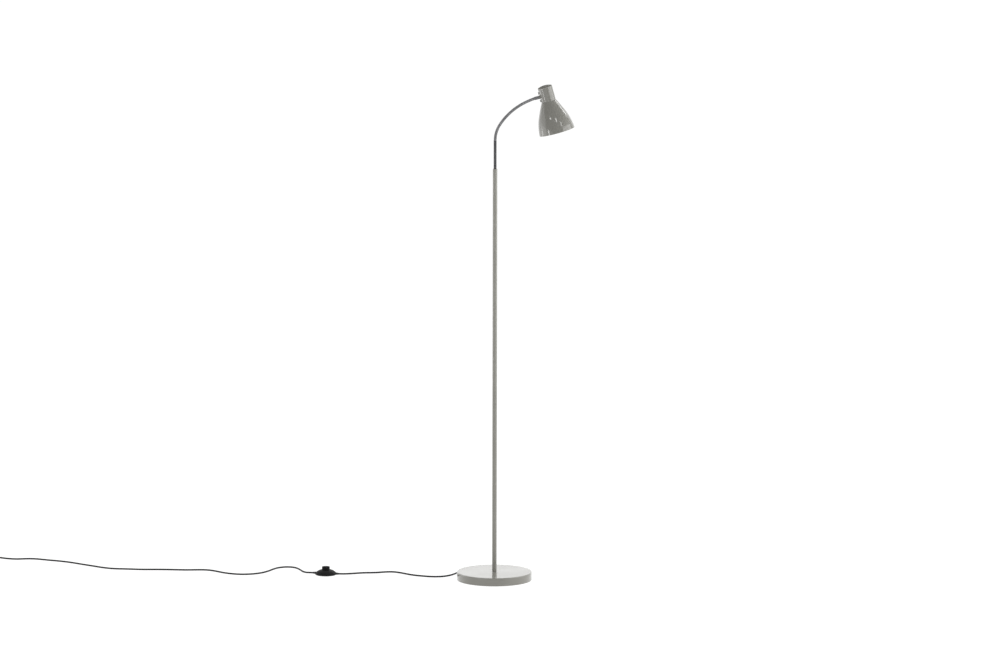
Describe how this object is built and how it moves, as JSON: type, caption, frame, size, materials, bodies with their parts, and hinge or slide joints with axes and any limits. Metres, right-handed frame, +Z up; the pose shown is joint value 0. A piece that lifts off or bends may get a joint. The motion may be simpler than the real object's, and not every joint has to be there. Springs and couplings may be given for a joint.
{
  "type": "gooseneck reading floor lamp",
  "caption": "Slim floor lamp with a round weighted base, thin pole, flexible metal neck, bell shade, foot switch and mains cord with a flat plug.",
  "frame": {"origin": "centre of the base's underside, on the floor", "axes": "+Z up along the pole, +X the way the neck leans and the head reaches, +Y to the side, the cord leaves the base towards +Y"},
  "size_m": [1.794, 0.4766, 1.4206],
  "materials": {
    "paint": "gloss warm grey lacquer",
    "shade_paint": "gloss warm grey outside, white inside",
    "cement": "cast cement",
    "foam": "fine closed-cell foam",
    "zinc": "zinc plated",
    "hose_metal": "dark bright plating",
    "black_rubber": "matt black",
    "black_plastic": "fine matt",
    "white_ceramic": "white moulded",
    "brass": "bright",
    "steel_spring": "bright wire",
    "clear_glass": "frosted white",
    "bulb_metal": "bright",
    "core_insulation": "thin sheath"
  },
  "bodies": {
    "stand": {"base_cover": "paint", "base_weight": "cement", "base_pad": "foam", "pole_nipple": "zinc", "nipple_washer": "zinc", "nipple_nut": "zinc", "cord_bush": "black_rubber", "cord_tail": "black_rubber", "cord_anchor": "black_plastic", "anchor_screws": "zinc", "base_lead": "core_insulation", "pole_foot_insert": "zinc", "pole_lower": "paint", "pole_middle": "paint", "pole_upper": "paint", "pole_couplers": "zinc", "pole_top_bush": "paint", "neck_root_sleeve": "hose_metal", "cord_lamp_to_switch": "black_rubber", "switch_base": "black_plastic", "switch_cover": "black_plastic", "switch_block": "black_plastic", "switch_spring": "steel_spring", "switch_screws": "zinc", "switch_leads": "core_insulation", "switch_relief_lamp": "black_rubber", "switch_relief_plug": "black_rubber", "cord_switch_to_coil": "black_rubber", "cord_coil": "black_rubber", "coil_tie": "black_plastic", "plug_relief": "black_rubber", "plug_body": "black_plastic", "plug_pins": "brass", "pin_sleeves": "black_plastic"},
    "hose_01": {"link_01": "hose_metal"},
    "hose_02": {"link_02": "hose_metal"},
    "hose_03": {"link_03": "hose_metal"},
    "hose_04": {"link_04": "hose_metal"},
    "hose_05": {"link_05": "hose_metal"},
    "hose_06": {"link_06": "hose_metal"},
    "hose_07": {"link_07": "hose_metal"},
    "hose_08": {"link_08": "hose_metal"},
    "hose_09": {"link_09": "hose_metal"},
    "hose_10": {"link_10": "hose_metal"},
    "hose_11": {"link_11": "hose_metal"},
    "head": {"neck_end_sleeve": "hose_metal", "neck_collar": "paint", "head_bracket": "zinc", "neck_nut": "zinc", "head_screws": "zinc", "shade_cap": "paint", "shade": "shade_paint", "shade_ring": "white_ceramic", "lampholder_body": "white_ceramic", "lampholder_shell": "brass", "lampholder_contact": "brass", "head_lead": "core_insulation", "bulb_base": "bulb_metal", "bulb_glass": "clear_glass"},
    "button": {"switch_button": "black_plastic"}
  },
  "joints": [
    {"name": "neck_bend_1", "type": "hinge", "parent": "stand", "child": "hose_01", "pos_m": [0.00001, 0, 1.26445], "axis": [0, 1, 0], "range_deg": [-17.3, 10]},
    {"name": "neck_sway_1", "type": "hinge", "parent": "hose_01", "child": "hose_02", "pos_m": [0.00177, 0, 1.27994], "axis": [0.9784, 0, -0.2066], "range_deg": [-10, 10]},
    {"name": "neck_bend_2", "type": "hinge", "parent": "hose_02", "child": "hose_03", "pos_m": [0.00642, 0, 1.29482], "axis": [0, 1, 0], "range_deg": [-18.36, 10.62]},
    {"name": "neck_sway_2", "type": "hinge", "parent": "hose_03", "child": "hose_04", "pos_m": [0.01381, 0, 1.30855], "axis": [0.8476, 0, -0.5306], "range_deg": [-10, 10]},
    {"name": "neck_bend_3", "type": "hinge", "parent": "hose_04", "child": "hose_05", "pos_m": [0.02294, 0, 1.3212], "axis": [0, 1, 0], "range_deg": [-9.9, 5.72]},
    {"name": "neck_sway_3", "type": "hinge", "parent": "hose_05", "child": "hose_06", "pos_m": [0.03314, 0, 1.33302], "axis": [0.7281, 0, -0.6855], "range_deg": [-10, 10]},
    {"name": "neck_bend_4", "type": "hinge", "parent": "hose_06", "child": "hose_07", "pos_m": [0.04432, 0, 1.3439], "axis": [0, 1, 0], "range_deg": [-9.9, 5.72]},
    {"name": "neck_sway_4", "type": "hinge", "parent": "hose_07", "child": "hose_08", "pos_m": [0.0564, 0, 1.35378], "axis": [0.5988, 0, -0.8009], "range_deg": [-10, 10]},
    {"name": "neck_bend_5", "type": "hinge", "parent": "hose_08", "child": "hose_09", "pos_m": [0.06929, 0, 1.36258], "axis": [0, 1, 0], "range_deg": [-9.15, 5.29]},
    {"name": "neck_sway_5", "type": "hinge", "parent": "hose_09", "child": "hose_10", "pos_m": [0.08289, 0, 1.37024], "axis": [0.4578, 0, -0.889], "range_deg": [-10, 10]},
    {"name": "neck_bend_6", "type": "hinge", "parent": "hose_10", "child": "hose_11", "pos_m": [0.09703, 0, 1.37686], "axis": [0, 1, 0], "range_deg": [-9.57, 5.53]},
    {"name": "neck_sway_6", "type": "hinge", "parent": "hose_11", "child": "head", "pos_m": [0.11159, 0, 1.38247], "axis": [0.3136, 0, -0.9496], "range_deg": [-10, 10]},
    {"name": "switch_press", "type": "slide", "parent": "stand", "child": "button", "axis": [0, 0, -1], "range_m": [0, 0.0025], "stiffness_N_per_m": 600, "springref_m": -0.004, "deforming": ["switch_spring"]}
  ]
}
